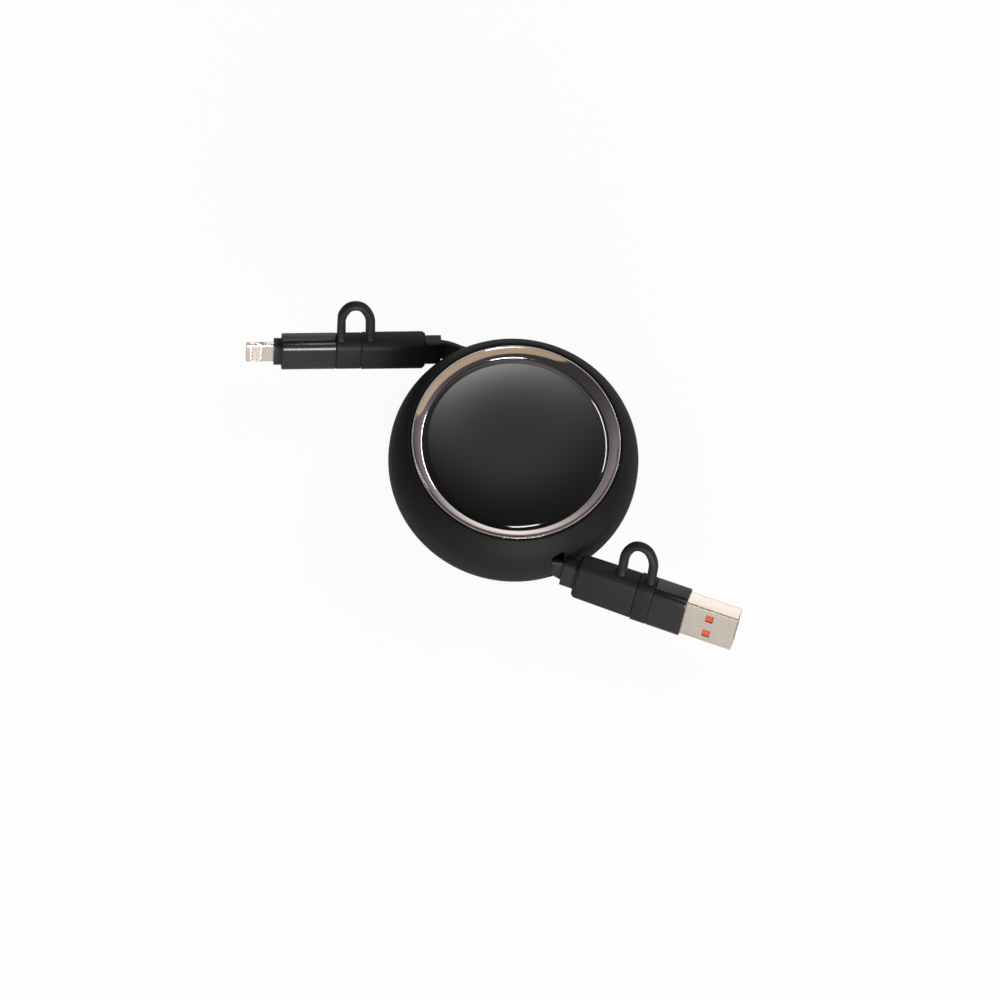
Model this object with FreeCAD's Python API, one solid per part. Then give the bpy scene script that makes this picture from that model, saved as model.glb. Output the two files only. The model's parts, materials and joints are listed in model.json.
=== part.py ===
import FreeCAD
import Part
import math
import os

# A retractable charging cable. The reel stands on its flat base, centred on the origin, with Z up.
# Lengths are in millimetres and angles in degrees.

# Reel housing
puck_radius = 32.0
puck_height = 24.0
side_arc_radius = 15.8
side_belt_height = 2.0
side_wall = 2.0
base_thickness = 2.0
base_edge_radius = 0.8
seam_height = 5.0
seam_lip_height = 1.5
seam_lip_thickness = 1.0
seam_clearance = 0.1
screw_boss_height = 1.1
screw_boss_overlap = 0.8

# Trim in the top of the housing
rim_width = 4.9
ceiling_thickness = 1.6
trim_clearance = 0.2
ring_width = 3.0
ring_lip_width = 0.45
ring_lip_edge = 0.15
ring_drop_height = 2.03
ring_hollow_depth = 0.165
ring_top_gap = 0.05
disc_top_gap = 0.3
disc_dome_radius = 300.0
disc_shoulder_radius = 3.0
disc_shoulder_angle = 30.0

# Flat cable, standing on its edge
cable_width = 6.6
cable_thickness = 1.5
cable_edge_radius = 0.6
pack_inner_gap = 0.1
pack_to_side_gap = 8.6
lead_gap = 0.25

# Cable outlets, one on each side
slot_outer_clearance = 0.4
slot_inner_clearance = 2.25
slot_top_clearance = 3.9
slot_outer_corner_radius = 3.0
slot_inner_corner_radius = 0.5

# Spool and spring
post_radius = 3.0
post_seat_radius = 5.0
running_clearance = 0.1
axial_play = 0.2
hub_radius = 12.5
hub_wall = 1.2
flange_thickness = 1.2
flange_overhang_width = 3.1
cable_side_clearance = 0.4
lower_collar_height = 2.0
upper_collar_height = 0.8
spring_thickness = 0.25
spring_half_turns = 12
spring_gap = 0.2
hook_length = 1.0
hook_slit_width = 0.8

# Centre screw
screw_radius = 1.0
screw_length = 10.0
screw_clearance = 0.1
screw_pilot_clearance = 0.05
screw_pilot_spare_length = 1.0
screw_head_radius = 2.0
screw_head_height = 0.75
screw_drive_width = 0.5
screw_drive_length = 2.4
screw_drive_depth = 0.45

# Pawl and its track under the spool
track_to_flange_gap = 7.0
track_depth = 1.3
track_ring_height = 1.5
track_ring_width = 2.3
track_pockets = 4
pocket_length = 1.45
pawl_pin_radius = 0.75
pawl_pin_clearance = 0.2
pawl_arm_length = 10.0
pawl_thickness = 1.6
pawl_width = 2.6
pawl_pivot_radius = 1.2
pawl_eye_radius = 2.4
pawl_boss_radius = 2.0
pawl_gap = 0.25
pawl_pin_height = 1.1

# Cable ends
right_heading = -11.3
left_heading = 171.0
right_roll = -20.0
left_roll = 18.0
right_lead_length = 1.2
twist_length = 3.7
left_lead_length = 1.3
left_bend_radius = 14.3
left_bend_angle = 19.0
tail_width = 7.5
tail_thickness = 3.1
tail_corner = 0.9
tail_groove_width = 0.3
tail_groove_depth = 0.2
tail_groove_distance = 0.4
plug_body_width = 9.3
plug_body_thickness = 4.3
plug_body_corner = 1.4
sleeve_length = 16.4
sleeve_end_wall = 1.0
sleeve_end_radius = 1.1
fit_gap = 0.05
adapter_gap = 0.2

# Oval plug and the socket that takes it
oval_plug_width = 8.25
oval_plug_thickness = 2.4
oval_plug_length = 6.65
oval_plug_root_length = 2.0
oval_plug_wall = 0.3
insert_gap = 0.02
insert_mouth_depth = 0.3
insert_slot_corner = 0.2
tongue_width = 6.7
tongue_thickness = 0.7
tongue_length = 4.2
tongue_clearance = 0.12
tongue_end_gap = 0.6
tongue_corner = 0.15
socket_clearance = 0.1
socket_wall = 0.25
socket_end_gap = 0.25
socket_mouth_depth = 0.2
socket_back_thickness = 0.5

# Tether loop
loop_radius = 1.2
loop_height = 11.9
loop_arch_height = 6.2
loop_shoulder_angle = 35.0
loop_foot_radius = 1.75
loop_foot_height = 1.7
loop_sink_depth = 0.25
section_corner = 2.0
skin_thickness = 0.5
core_end_gap = 0.1

# Left end and its eight contact adapter
left_tail_length = 4.0
left_sleeve_width = 10.9
left_sleeve_thickness = 5.9
left_section_width = 10.8
left_section_thickness = 5.7
left_band_length = 6.3
left_tube_length = 14.0
left_sleeve_leg_distance = 2.15
left_band_leg_distance = 5.05
left_loop_lean_angle = 2.0
collar_length = 2.0
collar_width = 8.0
collar_thickness = 3.8
collar_corner = 1.5
collar_root_length = 0.5
tab_width = 6.7
tab_thickness = 1.5
tab_length = 7.1
tab_root_length = 3.0
tab_corner = 1.1
tab_side_radius = 0.7
tab_notch_radius = 0.4
tab_notch_distance = 4.7
window_width = 5.7
window_length = 3.0
window_end_distance = 1.0
window_corner = 0.5
window_fit_gap = 0.03
tab_contacts = 8
tab_contact_width = 0.42
tab_contact_pitch = 0.66
tab_contact_length = 2.4
contact_thickness = 0.1

# Right end and its full-size plug adapter
right_tail_length = 3.2
right_sleeve_tail_width = 12.3
right_sleeve_width = 13.6
right_sleeve_thickness = 6.5
right_section_width = 14.0
right_section_thickness = 6.8
right_band_length = 4.3
right_tube_length = 9.0
right_sleeve_leg_distance = 4.9
right_band_leg_distance = 2.7
right_loop_lean_angle = -3.0
flat_plug_width = 12.0
flat_plug_thickness = 4.5
flat_plug_length = 13.65
flat_plug_root_length = 4.0
flat_plug_wall = 0.32
flat_plug_corner = 0.6
plug_window_width = 2.5
plug_window_length = 2.0
plug_window_pitch = 5.4
plug_window_end_distance = 7.1
insert_thickness = 1.9
insert_end_gap = 0.15
insert_side_gap = 0.2
strip_width = 1.0
strip_pitch = 2.35
strip_end_distance = 1.3
outer_strip_length = 7.4
inner_strip_length = 6.4
tube_edge_width = 0.25

X = FreeCAD.Vector(1, 0, 0)
Y = FreeCAD.Vector(0, 1, 0)
Z = FreeCAD.Vector(0, 0, 1)
ORIGIN = FreeCAD.Vector(0, 0, 0)

mid_height = puck_height / 2
recess_radius = puck_radius - rim_width
pack_radius = puck_radius - pack_to_side_gap

room_bottom = mid_height - cable_width / 2 - cable_side_clearance
room_top = mid_height + cable_width / 2 + cable_side_clearance
lower_flange_bottom = room_bottom - flange_thickness
upper_flange_top = room_top + flange_thickness
collar_bottom = lower_flange_bottom - lower_collar_height
collar_top = upper_flange_top + upper_collar_height
post_top = collar_top + axial_play
ceiling = post_top + screw_boss_height
recess_floor = ceiling + ceiling_thickness
flange_radius = pack_radius + flange_overhang_width
track_radius = flange_radius - track_to_flange_gap
spool_bore = post_radius + running_clearance

track_half_width = pawl_pin_radius + pawl_pin_clearance
track_bottom = lower_flange_bottom - track_ring_height
pawl_top = track_bottom - pawl_gap
pawl_bottom = pawl_top - pawl_thickness

lead_offset = pack_radius + lead_gap + cable_thickness / 2

sleeve_end = sleeve_length
adapter_start = sleeve_end + adapter_gap
socket_depth = oval_plug_length - adapter_gap + socket_end_gap + socket_back_thickness
left_band_end = adapter_start + left_band_length
left_tube_end = left_band_end + left_tube_length
collar_end = left_tube_end + collar_length
tab_end = collar_end + tab_length
right_band_end = adapter_start + right_band_length
right_tube_end = right_band_end + right_tube_length
flat_plug_end = right_tube_end + flat_plug_length


def side_radius(height, inset=0.0):
    """Radius of the bulging side at a height, or of its inside when inset by the wall."""
    off_belt = max(abs(height - mid_height) - side_belt_height / 2, 0.0)
    return puck_radius - side_arc_radius + math.sqrt((side_arc_radius - inset) ** 2 - off_belt ** 2)


def side_steps(start, end, inset=0.0):
    """Outline steps along the side between two heights: arcs above and below a straight belt."""
    low, high = mid_height - side_belt_height / 2, mid_height + side_belt_height / 2
    stops = [h for h in sorted((low, high), reverse=start > end) if min(start, end) < h < max(start, end)]
    steps = []
    here = start
    for stop in stops + [end]:
        point = (side_radius(stop, inset), stop)
        middle = (here + stop) / 2
        if low < middle < high:
            steps.append(point)
        else:
            steps.append(((side_radius(middle, inset), middle), point))
        here = stop
    return steps


def line(start, end):
    return Part.LineSegment(start, end).toShape()


def arc(start, through, end):
    return Part.Arc(start, through, end).toShape()


def revolved(start, *steps):
    """Solid of revolution about Z from a closed outline of (radius, height) points.

    A step is an end point, or a pair of through point and end point for an arc.
    """
    edges = []
    here = start
    for step in steps + (start,):
        if isinstance(step[0], tuple):
            through, end = step
            edges.append(arc(*(FreeCAD.Vector(r, 0, z) for r, z in (here, through, end))))
        else:
            end = step
            edges.append(line(FreeCAD.Vector(here[0], 0, here[1]), FreeCAD.Vector(end[0], 0, end[1])))
        here = end
    return Part.Face(Part.Wire(edges)).revolve(ORIGIN, Z, 360)


def cylinder(radius, bottom, top, x=0.0, y=0.0):
    return Part.makeCylinder(radius, top - bottom, FreeCAD.Vector(x, y, bottom), Z)


def tube(outer, inner, bottom, top):
    return cylinder(outer, bottom, top).cut(cylinder(inner, bottom, top))


def block(x0, x1, y0, y1, z0, z1):
    return Part.makeBox(x1 - x0, y1 - y0, z1 - z0, FreeCAD.Vector(x0, y0, z0))


def rounded_outline(across, up, corner):
    """Closed outline of a rounded rectangle centred on the X axis, in the plane x = 0."""
    flat_y = across / 2 - corner
    flat_z = up / 2 - corner
    diagonal = corner * math.sqrt(0.5)
    edges = []
    corners = [(1, 1), (-1, 1), (-1, -1), (1, -1)]
    for turn, (sy, sz) in enumerate(corners):
        centre = FreeCAD.Vector(0, sy * flat_y, sz * flat_z)
        along_y = centre + Y * (sy * corner)
        along_z = centre + Z * (sz * corner)
        through = centre + Y * (sy * diagonal) + Z * (sz * diagonal)
        first, last = (along_y, along_z) if turn % 2 == 0 else (along_z, along_y)
        if edges and (edges[-1].lastVertex().Point - first).Length > 1e-6:
            edges.append(line(edges[-1].lastVertex().Point, first))
        edges.append(arc(first, through, last))
    if (edges[-1].lastVertex().Point - edges[0].firstVertex().Point).Length > 1e-6:
        edges.append(line(edges[-1].lastVertex().Point, edges[0].firstVertex().Point))
    return Part.Wire(edges)


def bar(x0, x1, width, thickness, corner):
    """Rounded bar along X: width stands up along Z, thickness lies along Y."""
    face = Part.Face(rounded_outline(thickness, width, corner))
    face.translate(X * x0)
    return face.extrude(X * (x1 - x0))


def hollow_bar(x0, x1, width, thickness, corner, wall):
    inner_corner = max(corner - wall, 0.1)
    return bar(x0, x1, width, thickness, corner).cut(
        bar(x0, x1, width - 2 * wall, thickness - 2 * wall, inner_corner))


def end_edges(shape, x):
    """Edges that lie in the plane at x."""
    return [e for e in shape.Edges if abs(e.BoundBox.XMin - x) < 1e-4 and abs(e.BoundBox.XMax - x) < 1e-4]


def export(shape, node):
    shape.exportStep("parts/" + node + ".step")


def pose(point, heading, roll=0.0):
    turn = FreeCAD.Rotation(Z, heading).multiply(FreeCAD.Rotation(X, roll))
    return FreeCAD.Placement(point, turn)


def placed(shape, placement):
    moved = shape.copy()
    moved.Placement = placement.multiply(shape.Placement)
    return moved


# The two cables leave the pack along tangents on opposite sides. A lead's own frame has X along the
# cable, its origin at the tangent point and +Y towards the reel's centre.
slot_reach = math.sqrt(puck_radius ** 2 - lead_offset ** 2)


def lead_frame(heading):
    return pose(FreeCAD.Rotation(Z, heading).multVec(FreeCAD.Vector(0, -lead_offset, mid_height)), heading)


left_lead_frame = lead_frame(left_heading)
right_lead_frame = lead_frame(right_heading)


def outlet_cut():
    """Notch for one cable, open at the seam and rounded at the top."""
    near = cable_thickness / 2 + slot_outer_clearance
    far = cable_thickness / 2 + slot_inner_clearance
    top = cable_width / 2 + slot_top_clearance
    seam = seam_height - mid_height
    notch = block(slot_reach / 2, slot_reach * 2, -near, far, seam, top)
    for side, radius in ((-near, slot_outer_corner_radius), (far, slot_inner_corner_radius)):
        corner = [e for e in notch.Edges if e.BoundBox.ZMin > top - 1e-4 and e.BoundBox.YLength < 1e-4
                  and abs(e.BoundBox.YMin - side) < 1e-4]
        notch = notch.makeFillet(radius, corner)
    return notch


def bottom_shell():
    shell = revolved(
        (0, 0), (side_radius(0), 0), *side_steps(0, seam_height),
        (side_radius(seam_height, side_wall), seam_height),
        *side_steps(seam_height, base_thickness, side_wall), (0, base_thickness))
    foot = [e for e in shell.Edges if e.BoundBox.ZMax < 1e-4 and e.BoundBox.XLength > puck_radius]
    shell = shell.makeFillet(base_edge_radius, foot)
    lip_radius = side_radius(seam_height, side_wall) - seam_clearance
    lip = tube(lip_radius, lip_radius - seam_lip_thickness, base_thickness, seam_height + seam_lip_height)
    post = cylinder(post_radius, 0, post_top).fuse(
        cylinder(post_seat_radius, 0, collar_bottom - axial_play))
    pivot = cylinder(pawl_pivot_radius, 0, pawl_top + pawl_gap / 2, track_radius, -pawl_arm_length).fuse(
        cylinder(pawl_boss_radius, 0, pawl_bottom - axial_play, track_radius, -pawl_arm_length))
    shell = shell.fuse([lip.common(cylinder(puck_radius, 0, puck_height)), post, pivot])
    pilot_bottom = recess_floor - screw_length - screw_pilot_spare_length
    pilot = cylinder(screw_radius + screw_pilot_clearance, pilot_bottom, post_top)
    slit = block(post_radius - hook_length - spring_gap, post_seat_radius, -hook_slit_width / 2,
                 hook_slit_width / 2, room_bottom, room_top)
    return shell.cut([pilot, slit]).removeSplitter()


def top_shell():
    shell = revolved(
        (side_radius(seam_height), seam_height), *side_steps(seam_height, puck_height),
        (recess_radius, puck_height), (recess_radius, recess_floor), (0, recess_floor), (0, ceiling),
        (side_radius(ceiling, side_wall), ceiling), *side_steps(ceiling, seam_height, side_wall))
    shell = shell.fuse(cylinder(post_radius, post_top, ceiling + screw_boss_overlap))
    head_seat = recess_floor - screw_head_height - screw_clearance
    hole = cylinder(screw_radius + screw_clearance, post_top, recess_floor)
    counterbore = cylinder(screw_head_radius + screw_clearance, head_seat, recess_floor)
    outlets = [placed(outlet_cut(), frame) for frame in (left_lead_frame, right_lead_frame)]
    return shell.cut([hole, counterbore] + outlets).removeSplitter()


def trim_ring():
    outer = recess_radius - trim_clearance
    inner = outer - ring_width
    top = puck_height - ring_top_gap
    lip = outer - ring_lip_width
    low = top - ring_drop_height
    slope = math.hypot(lip - inner, ring_drop_height)
    through = ((lip + inner) / 2 + ring_hollow_depth * ring_drop_height / slope,
               (top + low) / 2 - ring_hollow_depth * (lip - inner) / slope)
    return revolved((inner, recess_floor), (outer, recess_floor), (outer, top - ring_lip_edge),
                    (outer - ring_lip_edge, top), (lip, top), (through, (inner, low)))


def top_disc():
    """Flat dome that goes over into a rounded shoulder without an edge."""
    radius = recess_radius - ring_width - 2 * trim_clearance
    top = puck_height - disc_top_gap
    rim = math.radians(disc_shoulder_angle)
    face_radius = radius - disc_shoulder_radius * math.sin(rim)
    face_radius /= 1 - disc_shoulder_radius / disc_dome_radius
    tilt = math.asin(face_radius / disc_dome_radius)
    face = top - disc_dome_radius * (1 - math.cos(tilt))
    centre = (face_radius - disc_shoulder_radius * math.sin(tilt),
              face - disc_shoulder_radius * math.cos(tilt))

    def shoulder(angle):
        return (centre[0] + disc_shoulder_radius * math.sin(angle),
                centre[1] + disc_shoulder_radius * math.cos(angle))

    dome = Part.makeSphere(disc_dome_radius, FreeCAD.Vector(0, 0, top - disc_dome_radius))
    blank = revolved((0, recess_floor), (radius, recess_floor), shoulder(rim),
                     (shoulder((rim + tilt) / 2), (face_radius, face)),
                     (face_radius, puck_height), (0, puck_height))
    return blank.common(dome)


def axle_screw():
    top = recess_floor - screw_clearance
    neck = top - screw_head_height
    shank = cylinder(screw_radius, recess_floor - screw_length, neck)
    screw = cylinder(screw_head_radius, neck, top).fuse(shank)
    reach = screw_drive_length / 2
    half = screw_drive_width / 2
    drive = block(-reach, reach, -half, half, top - screw_drive_depth, top).fuse(
        block(-half, half, -reach, reach, top - screw_drive_depth, top))
    return screw.cut(drive).removeSplitter()


def spool():
    flange = tube(flange_radius, spool_bore, lower_flange_bottom, room_bottom)
    hub = tube(hub_radius, hub_radius - hub_wall, room_bottom, room_top)
    collar = tube(post_seat_radius, spool_bore, collar_bottom, lower_flange_bottom)
    track_ring = tube(track_radius + track_ring_width + pocket_length, track_radius - track_ring_width,
                      track_bottom, lower_flange_bottom)
    groove = tube(track_radius + track_half_width, track_radius - track_half_width,
                  track_bottom, track_bottom + track_depth)
    drum = flange.fuse([hub, collar, track_ring]).cut(groove)
    pocket_half = track_half_width + pawl_pin_clearance
    pocket = block(track_radius, track_radius + pocket_length + track_half_width, -pocket_half, pocket_half,
                   track_bottom, track_bottom + track_depth)
    turn = 360.0 / track_pockets
    pockets = [placed(pocket, pose(ORIGIN, k * turn)) for k in range(track_pockets)]
    notch = block(hub_radius - hub_wall - spring_gap, hub_radius + spring_gap, -hook_slit_width / 2,
                  hook_slit_width / 2, room_bottom, room_top)
    return drum.cut(pockets + [notch]).removeSplitter()


def spool_cover():
    return tube(flange_radius, spool_bore, room_top, upper_flange_top).fuse(
        tube(post_seat_radius, spool_bore, upper_flange_top, collar_top)).removeSplitter()


def mainspring():
    """Spiral strip of half circles, hooked into the post inside and the hub outside."""
    bottom = room_bottom + spring_gap
    half = spring_thickness / 2
    inner = post_radius + spring_gap + half
    outer = hub_radius - hub_wall - spring_gap - half
    step = (outer - inner) / spring_half_turns
    sides = []
    for offset in (-half, half):
        edges = []
        for turn in range(spring_half_turns):
            radius = inner + step * turn + offset
            centre = step if turn % 2 else 0.0
            side = -1 if turn % 2 else 1
            edges.append(arc(FreeCAD.Vector(centre + side * radius, 0, bottom),
                             FreeCAD.Vector(centre, side * radius, bottom),
                             FreeCAD.Vector(centre - side * radius, 0, bottom)))
        sides.append(edges)
    caps = [line(sides[0][0].firstVertex().Point, sides[1][0].firstVertex().Point),
            line(sides[0][-1].lastVertex().Point, sides[1][-1].lastVertex().Point)]
    outline = Part.Wire(Part.__sortEdges__(sides[0] + sides[1] + caps))
    height = room_top - room_bottom - 2 * spring_gap
    strip = Part.Face(outline).extrude(Z * height)
    inner_hook = block(post_radius - hook_length, inner + half, 0, spring_thickness, bottom, bottom + height)
    outer_hook = block(outer - half, hub_radius - spring_gap, -spring_thickness, 0, bottom, bottom + height)
    return strip.fuse([inner_hook, outer_hook]).removeSplitter()


def pawl():
    """Lever that lies under the track, with the follower pin over its free end."""
    half = pawl_width / 2
    arm = block(track_radius - half, track_radius + half, -pawl_arm_length, 0, pawl_bottom, pawl_top)
    eye = cylinder(pawl_eye_radius, pawl_bottom, pawl_top, track_radius, -pawl_arm_length)
    toe = cylinder(half, pawl_bottom, pawl_top, track_radius, 0)
    pin = cylinder(pawl_pin_radius, pawl_bottom, track_bottom + pawl_pin_height, track_radius, 0)
    bore = cylinder(pawl_pivot_radius + running_clearance, pawl_bottom, pawl_top,
                    track_radius, -pawl_arm_length)
    return arm.fuse([eye, toe, pin]).cut(bore).removeSplitter()


def cable_pack():
    return tube(pack_radius, hub_radius + pack_inner_gap,
                mid_height - cable_width / 2, mid_height + cable_width / 2)


def lead(stations):
    """Flat cable through a list of placements, each turned to the cable's own section."""
    wires = []
    for station in stations:
        wire = rounded_outline(cable_thickness, cable_width, cable_edge_radius)
        wire.Placement = station
        wires.append(wire)
    return Part.makeLoft(wires, True, True)


def right_stations():
    """Straight out of the reel, rolling to the plug's angle just before the tail."""
    reach = slot_reach + right_lead_length
    frames = [right_lead_frame]
    for share in (0.0, 0.2, 0.4, 0.6, 0.8, 1.0):
        along = reach - twist_length * (1 - share)
        frames.append(right_lead_frame.multiply(pose(X * along, 0.0, right_roll * share)))
    return frames


def left_stations():
    """Straight out of the reel, then round a gentle bend that also rolls to the plug's angle."""
    frames = [left_lead_frame]
    for share in (0.0, 0.2, 0.4, 0.6, 0.8, 1.0):
        turn = math.radians(left_bend_angle * share)
        point = FreeCAD.Vector(slot_reach + left_lead_length + left_bend_radius * math.sin(turn),
                               left_bend_radius * (1 - math.cos(turn)), 0)
        frames.append(left_lead_frame.multiply(
            pose(point, left_bend_angle * share, left_roll * share)))
    return frames


def plug_body(tail_length):
    """Moulding inside the sleeve, with the grooved tail that grips the cable."""
    shoulder = sleeve_end_wall + fit_gap
    body = bar(shoulder, sleeve_end, plug_body_width, plug_body_thickness, plug_body_corner)
    tail = bar(-tail_length, shoulder, tail_width, tail_thickness, tail_corner)
    groove = hollow_bar(-tail_groove_distance - tail_groove_width, -tail_groove_distance, tail_width,
                        tail_thickness, tail_corner, tail_groove_depth)
    pocket = bar(sleeve_end - oval_plug_root_length, sleeve_end, oval_plug_width + 2 * fit_gap,
                 oval_plug_thickness + 2 * fit_gap, oval_plug_thickness / 2 + fit_gap)
    return body.fuse(tail).cut([groove, pocket]).removeSplitter()


def plug_shell():
    return hollow_bar(sleeve_end - oval_plug_root_length, sleeve_end + oval_plug_length, oval_plug_width,
                      oval_plug_thickness, oval_plug_thickness / 2, oval_plug_wall)


def plug_insert():
    gap = 2 * (oval_plug_wall + insert_gap)
    thickness = oval_plug_thickness - gap
    end = sleeve_end + oval_plug_length
    core = bar(sleeve_end - oval_plug_root_length, end - insert_mouth_depth, oval_plug_width - gap,
               thickness, thickness / 2)
    mouth = bar(end - tongue_length - tongue_end_gap, end, tongue_width + 2 * tongue_clearance,
                tongue_thickness + 2 * tongue_clearance, insert_slot_corner)
    return core.cut(mouth)


def loop(legs, lean_angle, base, band_end):
    """Round cord that stands on the sleeve and the band, arched over the joint between them.

    The feet spread, and the outer one is cut off level with the band. The lean is towards the tip.
    """
    left = sleeve_end - legs[0]
    right = adapter_start + legs[1]
    half = (right - left) / 2
    centre = (left + right) / 2
    spring_line = base + loop_height - loop_arch_height
    shoulder = math.radians(loop_shoulder_angle)
    spare = (loop_arch_height - half) / (math.sin(shoulder) + math.cos(shoulder) - 1)
    side = half + spare * math.cos(shoulder)
    crown = side - spare

    def point(x, z):
        return FreeCAD.Vector(centre + x, 0, z)

    def bend(start, heading, pivot, angle):
        disc = Part.Face(Part.Wire(Part.makeCircle(loop_radius, start, heading)))
        return disc.revolve(pivot, Y, angle)

    top = spring_line + spare * math.sin(shoulder)
    joint = point(-crown * math.cos(shoulder), top + crown * math.sin(shoulder))
    rise = FreeCAD.Vector(math.sin(shoulder), 0, math.cos(shoulder))
    pieces = [
        bend(point(-half, spring_line), Z, point(side - half, spring_line), loop_shoulder_angle),
        bend(joint, rise, point(0, top), 180 - 2 * loop_shoulder_angle),
        bend(point(half, spring_line), Z, point(half - side, spring_line), -loop_shoulder_angle)]
    for x in (-half, half):
        foot = point(x, base - loop_sink_depth)
        pieces.append(Part.makeCylinder(loop_radius, spring_line - base + loop_sink_depth, foot, Z))
        foot_rise = loop_foot_height + loop_sink_depth
        pieces.append(Part.makeCone(loop_foot_radius, loop_radius, foot_rise, foot, Z))
    beyond = block(band_end, band_end + loop_height, -loop_height, loop_height,
                   base - loop_height, base + loop_height)
    cord = pieces[0].fuse(pieces[1:])
    cord.rotate(point(0, base), Y, lean_angle)
    return cord.cut(beyond)


def tether(tail_end_width, sleeve_width, sleeve_thickness, band_end, section_width, section_thickness,
           legs, lean_angle):
    """Sleeve, loop and band, moulded as one."""
    wires = [rounded_outline(sleeve_thickness, width, section_corner)
             for width in (tail_end_width, sleeve_width)]
    wires[1].translate(X * sleeve_end)
    sleeve = Part.makeLoft(wires, True, True)
    sleeve = sleeve.makeFillet(sleeve_end_radius, end_edges(sleeve, 0.0))
    cavity = bar(sleeve_end_wall, sleeve_end, plug_body_width + 2 * fit_gap,
                 plug_body_thickness + 2 * fit_gap, plug_body_corner + fit_gap)
    throat = bar(0, sleeve_end_wall, tail_width + 2 * fit_gap, tail_thickness + 2 * fit_gap,
                 tail_corner + fit_gap)
    sleeve = sleeve.cut([cavity, throat])
    band = hollow_bar(adapter_start, band_end, section_width, section_thickness, section_corner,
                      skin_thickness)
    base = min(sleeve_width, section_width) / 2
    return sleeve.fuse([band, loop(legs, lean_angle, base, band_end)]).removeSplitter()


def adapter_tube(band_end, tube_end, width, thickness):
    barrel = bar(band_end + fit_gap, tube_end, width, thickness, section_corner)
    rims = end_edges(barrel, band_end + fit_gap) + end_edges(barrel, tube_end)
    barrel = barrel.makeChamfer(tube_edge_width, rims)
    return barrel.cut(bar(band_end, tube_end, width - 2 * skin_thickness, thickness - 2 * skin_thickness,
                          section_corner - skin_thickness))


def adapter_core(tube_end, width, thickness):
    gap = skin_thickness + fit_gap
    core = bar(adapter_start, tube_end - core_end_gap, width - 2 * gap, thickness - 2 * gap,
               section_corner - gap)
    outer = 2 * (socket_clearance + socket_wall + fit_gap)
    pocket = bar(adapter_start, adapter_start + socket_depth, oval_plug_width + outer,
                 oval_plug_thickness + outer, (oval_plug_thickness + outer) / 2)
    return core.cut(pocket)


def socket_liner():
    grow = 2 * (socket_clearance + socket_wall)
    thickness = oval_plug_thickness + grow
    return hollow_bar(adapter_start + socket_mouth_depth, adapter_start + socket_depth,
                      oval_plug_width + grow, thickness, thickness / 2, socket_wall)


def socket_tongue():
    grow = 2 * (socket_clearance - insert_gap)
    thickness = oval_plug_thickness + grow
    back = adapter_start + socket_depth
    base = bar(back - socket_back_thickness, back, oval_plug_width + grow, thickness, thickness / 2)
    tongue = bar(back - socket_back_thickness - tongue_length, back, tongue_width, tongue_thickness,
                 tongue_corner)
    return base.fuse(tongue).removeSplitter()


def eight_pin_core():
    core = adapter_core(left_tube_end, left_section_width, left_section_thickness)
    collar = bar(left_tube_end - collar_root_length, collar_end, collar_width, collar_thickness,
                 collar_corner)
    pocket = bar(collar_end - tab_root_length, collar_end, tab_width + 2 * fit_gap,
                 tab_thickness + 2 * fit_gap, tab_side_radius)
    return core.fuse(collar).cut(pocket).removeSplitter()


def window(shrink, thickness):
    """Block over the tab's contact window, made smaller on every side by shrink."""
    end = tab_end - window_end_distance
    length = window_length - 2 * shrink
    pane = block(end - shrink - length, end - shrink, -thickness / 2, thickness / 2,
                 -window_width / 2 + shrink, window_width / 2 - shrink)
    return pane.makeFillet(window_corner, [e for e in pane.Edges if e.BoundBox.YLength > thickness * 0.9])


def eight_pin_tab():
    stock = bar(collar_end - tab_root_length, tab_end, tab_width, tab_thickness, tab_side_radius)
    plan = block(collar_end - tab_root_length, tab_end, -tab_thickness, tab_thickness,
                 -tab_width / 2, tab_width / 2)
    nose = [e for e in plan.Edges if e.BoundBox.YLength > tab_thickness and e.BoundBox.XMin > tab_end - 0.01]
    tab = stock.common(plan.makeFillet(tab_corner, nose))
    notches = [Part.makeCylinder(tab_notch_radius, 2 * tab_thickness, FreeCAD.Vector(
        tab_end - tab_notch_distance, -tab_thickness, sign * tab_width / 2), Y) for sign in (-1, 1)]
    return tab.cut(notches + [window(0.0, 2 * tab_thickness)])


def eight_pin_contacts():
    middle = tab_end - window_end_distance - window_length / 2
    outer = tab_thickness / 2
    pads = []
    for index in range(tab_contacts):
        at = (index - (tab_contacts - 1) / 2) * tab_contact_pitch
        for inner in (-outer, outer - contact_thickness):
            pads.append(block(middle - tab_contact_length / 2, middle + tab_contact_length / 2,
                              inner, inner + contact_thickness,
                              at - tab_contact_width / 2, at + tab_contact_width / 2))
    return Part.makeCompound(pads)


def type_a_core():
    core = adapter_core(right_tube_end, right_section_width, right_section_thickness)
    pocket = bar(right_tube_end - flat_plug_root_length, right_tube_end, flat_plug_width + 2 * fit_gap,
                 flat_plug_thickness + 2 * fit_gap, flat_plug_corner + fit_gap)
    return core.cut(pocket)


def type_a_shell():
    case = hollow_bar(right_tube_end - flat_plug_root_length, flat_plug_end, flat_plug_width,
                      flat_plug_thickness, flat_plug_corner, flat_plug_wall)
    x = flat_plug_end - plug_window_end_distance
    holes = []
    for sign in (-1, 1):
        z = sign * plug_window_pitch / 2
        holes.append(block(x - plug_window_length / 2, x + plug_window_length / 2,
                           -flat_plug_thickness, flat_plug_thickness,
                           z - plug_window_width / 2, z + plug_window_width / 2))
    return case.cut(holes)


def insert_face():
    """Height in the plug, along its thickness, of the insert's contact face."""
    return -flat_plug_thickness / 2 + flat_plug_wall + fit_gap + insert_thickness


def type_a_insert():
    width = flat_plug_width - 2 * (flat_plug_wall + fit_gap)
    top = insert_face()
    return block(right_tube_end - flat_plug_root_length, flat_plug_end - insert_end_gap,
                 top - insert_thickness, top, -width / 2 + insert_side_gap, width / 2 - insert_side_gap)


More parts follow.
